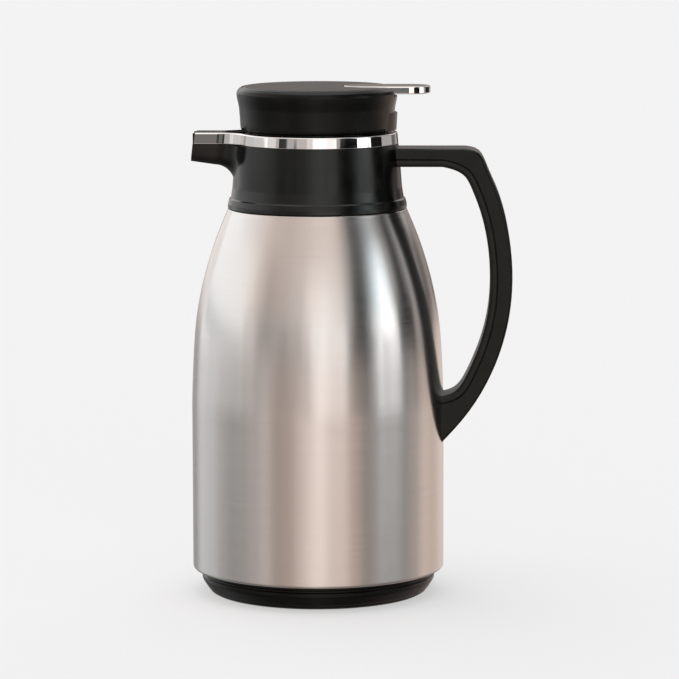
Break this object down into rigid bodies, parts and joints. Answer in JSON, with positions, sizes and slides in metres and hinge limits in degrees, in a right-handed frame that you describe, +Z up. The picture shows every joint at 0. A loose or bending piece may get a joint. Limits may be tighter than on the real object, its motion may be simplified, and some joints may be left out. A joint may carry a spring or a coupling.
{
  "type": "vacuum insulated coffee carafe",
  "caption": "Steel vacuum carafe with a tapered shoulder, black collar with open spout, loop handle, and a screw-in stopper whose thumb lever opens the pouring valve.",
  "frame": {"origin": "centre of the round foot, on the floor, on the body's vertical axis", "axes": "+Z up, +X towards the handle, -X towards the spout, +Y to the right of someone holding the handle and looking at the spout"},
  "size_m": [0.1822, 0.1434, 0.2898],
  "materials": {
    "brushed_steel": "brushed round the axis, satin",
    "bright_steel": "plain mill or electropolished",
    "chrome": "mirror",
    "brass": "turned",
    "black_plastic": "satin moulded",
    "lid_plastic": "fine satin",
    "soft_black": "soft touch",
    "white_plastic": "food-grade moulded",
    "foot_rubber": "matte",
    "silicone": "translucent satin"
  },
  "bodies": {
    "jug": {"outer_shell": "brushed_steel", "neck_ring": "bright_steel", "inner_floor": "bright_steel", "inner_wall": "bright_steel", "inner_taper": "bright_steel", "inner_shoulder": "bright_steel", "inner_neck": "bright_steel", "bottom_plate": "bright_steel", "evacuation_seal": "bright_steel", "getter_capsule": "bright_steel", "neck_lock_ring": "bright_steel", "lip_gasket": "silicone", "base_cap": "black_plastic", "foot_pad": "foot_rubber", "collar": "black_plastic", "chrome_band": "chrome", "handle_frame": "black_plastic", "handle_liner": "soft_black", "handle_top_screw": "bright_steel", "handle_lower_screw": "bright_steel", "handle_lug": "bright_steel"},
    "seal_carrier": {"stopper_seal": "silicone"},
    "stopper": {"stopper_body": "black_plastic", "stopper_cup": "black_plastic", "upper_seal": "silicone", "stem_bush": "brass", "stem_wiper": "silicone", "lid_shell": "black_plastic", "lid_top_cover": "lid_plastic", "lid_frame": "black_plastic", "lid_screw_1": "bright_steel", "lid_screw_2": "bright_steel", "lid_screw_3": "bright_steel", "lever_pin": "bright_steel", "valve_spring": "bright_steel"},
    "lever": {"lever": "chrome"},
    "valve": {"valve_stem": "bright_steel", "valve_disc": "white_plastic", "valve_seal": "silicone", "valve_nut": "bright_steel"}
  },
  "joints": [
    {"name": "lid_rise", "type": "slide", "parent": "jug", "child": "seal_carrier", "axis": [0, 0, 1], "range_m": [0, 0.054]},
    {"name": "lid_turn", "type": "hinge", "parent": "seal_carrier", "child": "stopper", "pos_m": [0, 0, 0.255], "axis": [0, 0, 1], "range_deg": [0, 540]},
    {"name": "lever_press", "type": "hinge", "parent": "stopper", "child": "lever", "pos_m": [0.0365, 0, 0.2825], "axis": [0, 1, 0], "range_deg": [0, 8], "stiffness_Nm_per_rad": 0.8, "springref_deg": -8.02},
    {"name": "valve_lift", "type": "slide", "parent": "stopper", "child": "valve", "axis": [0, 0, 1], "range_m": [0, 0.0051], "deforming": ["valve_spring"]}
  ],
  "couplings": [
    {"joint": "lid_rise", "follows": "lid_turn", "m_per_rad": 0.0057296},
    {"joint": "valve_lift", "follows": "lever_press", "m_per_rad": 0.0365}
  ]
}
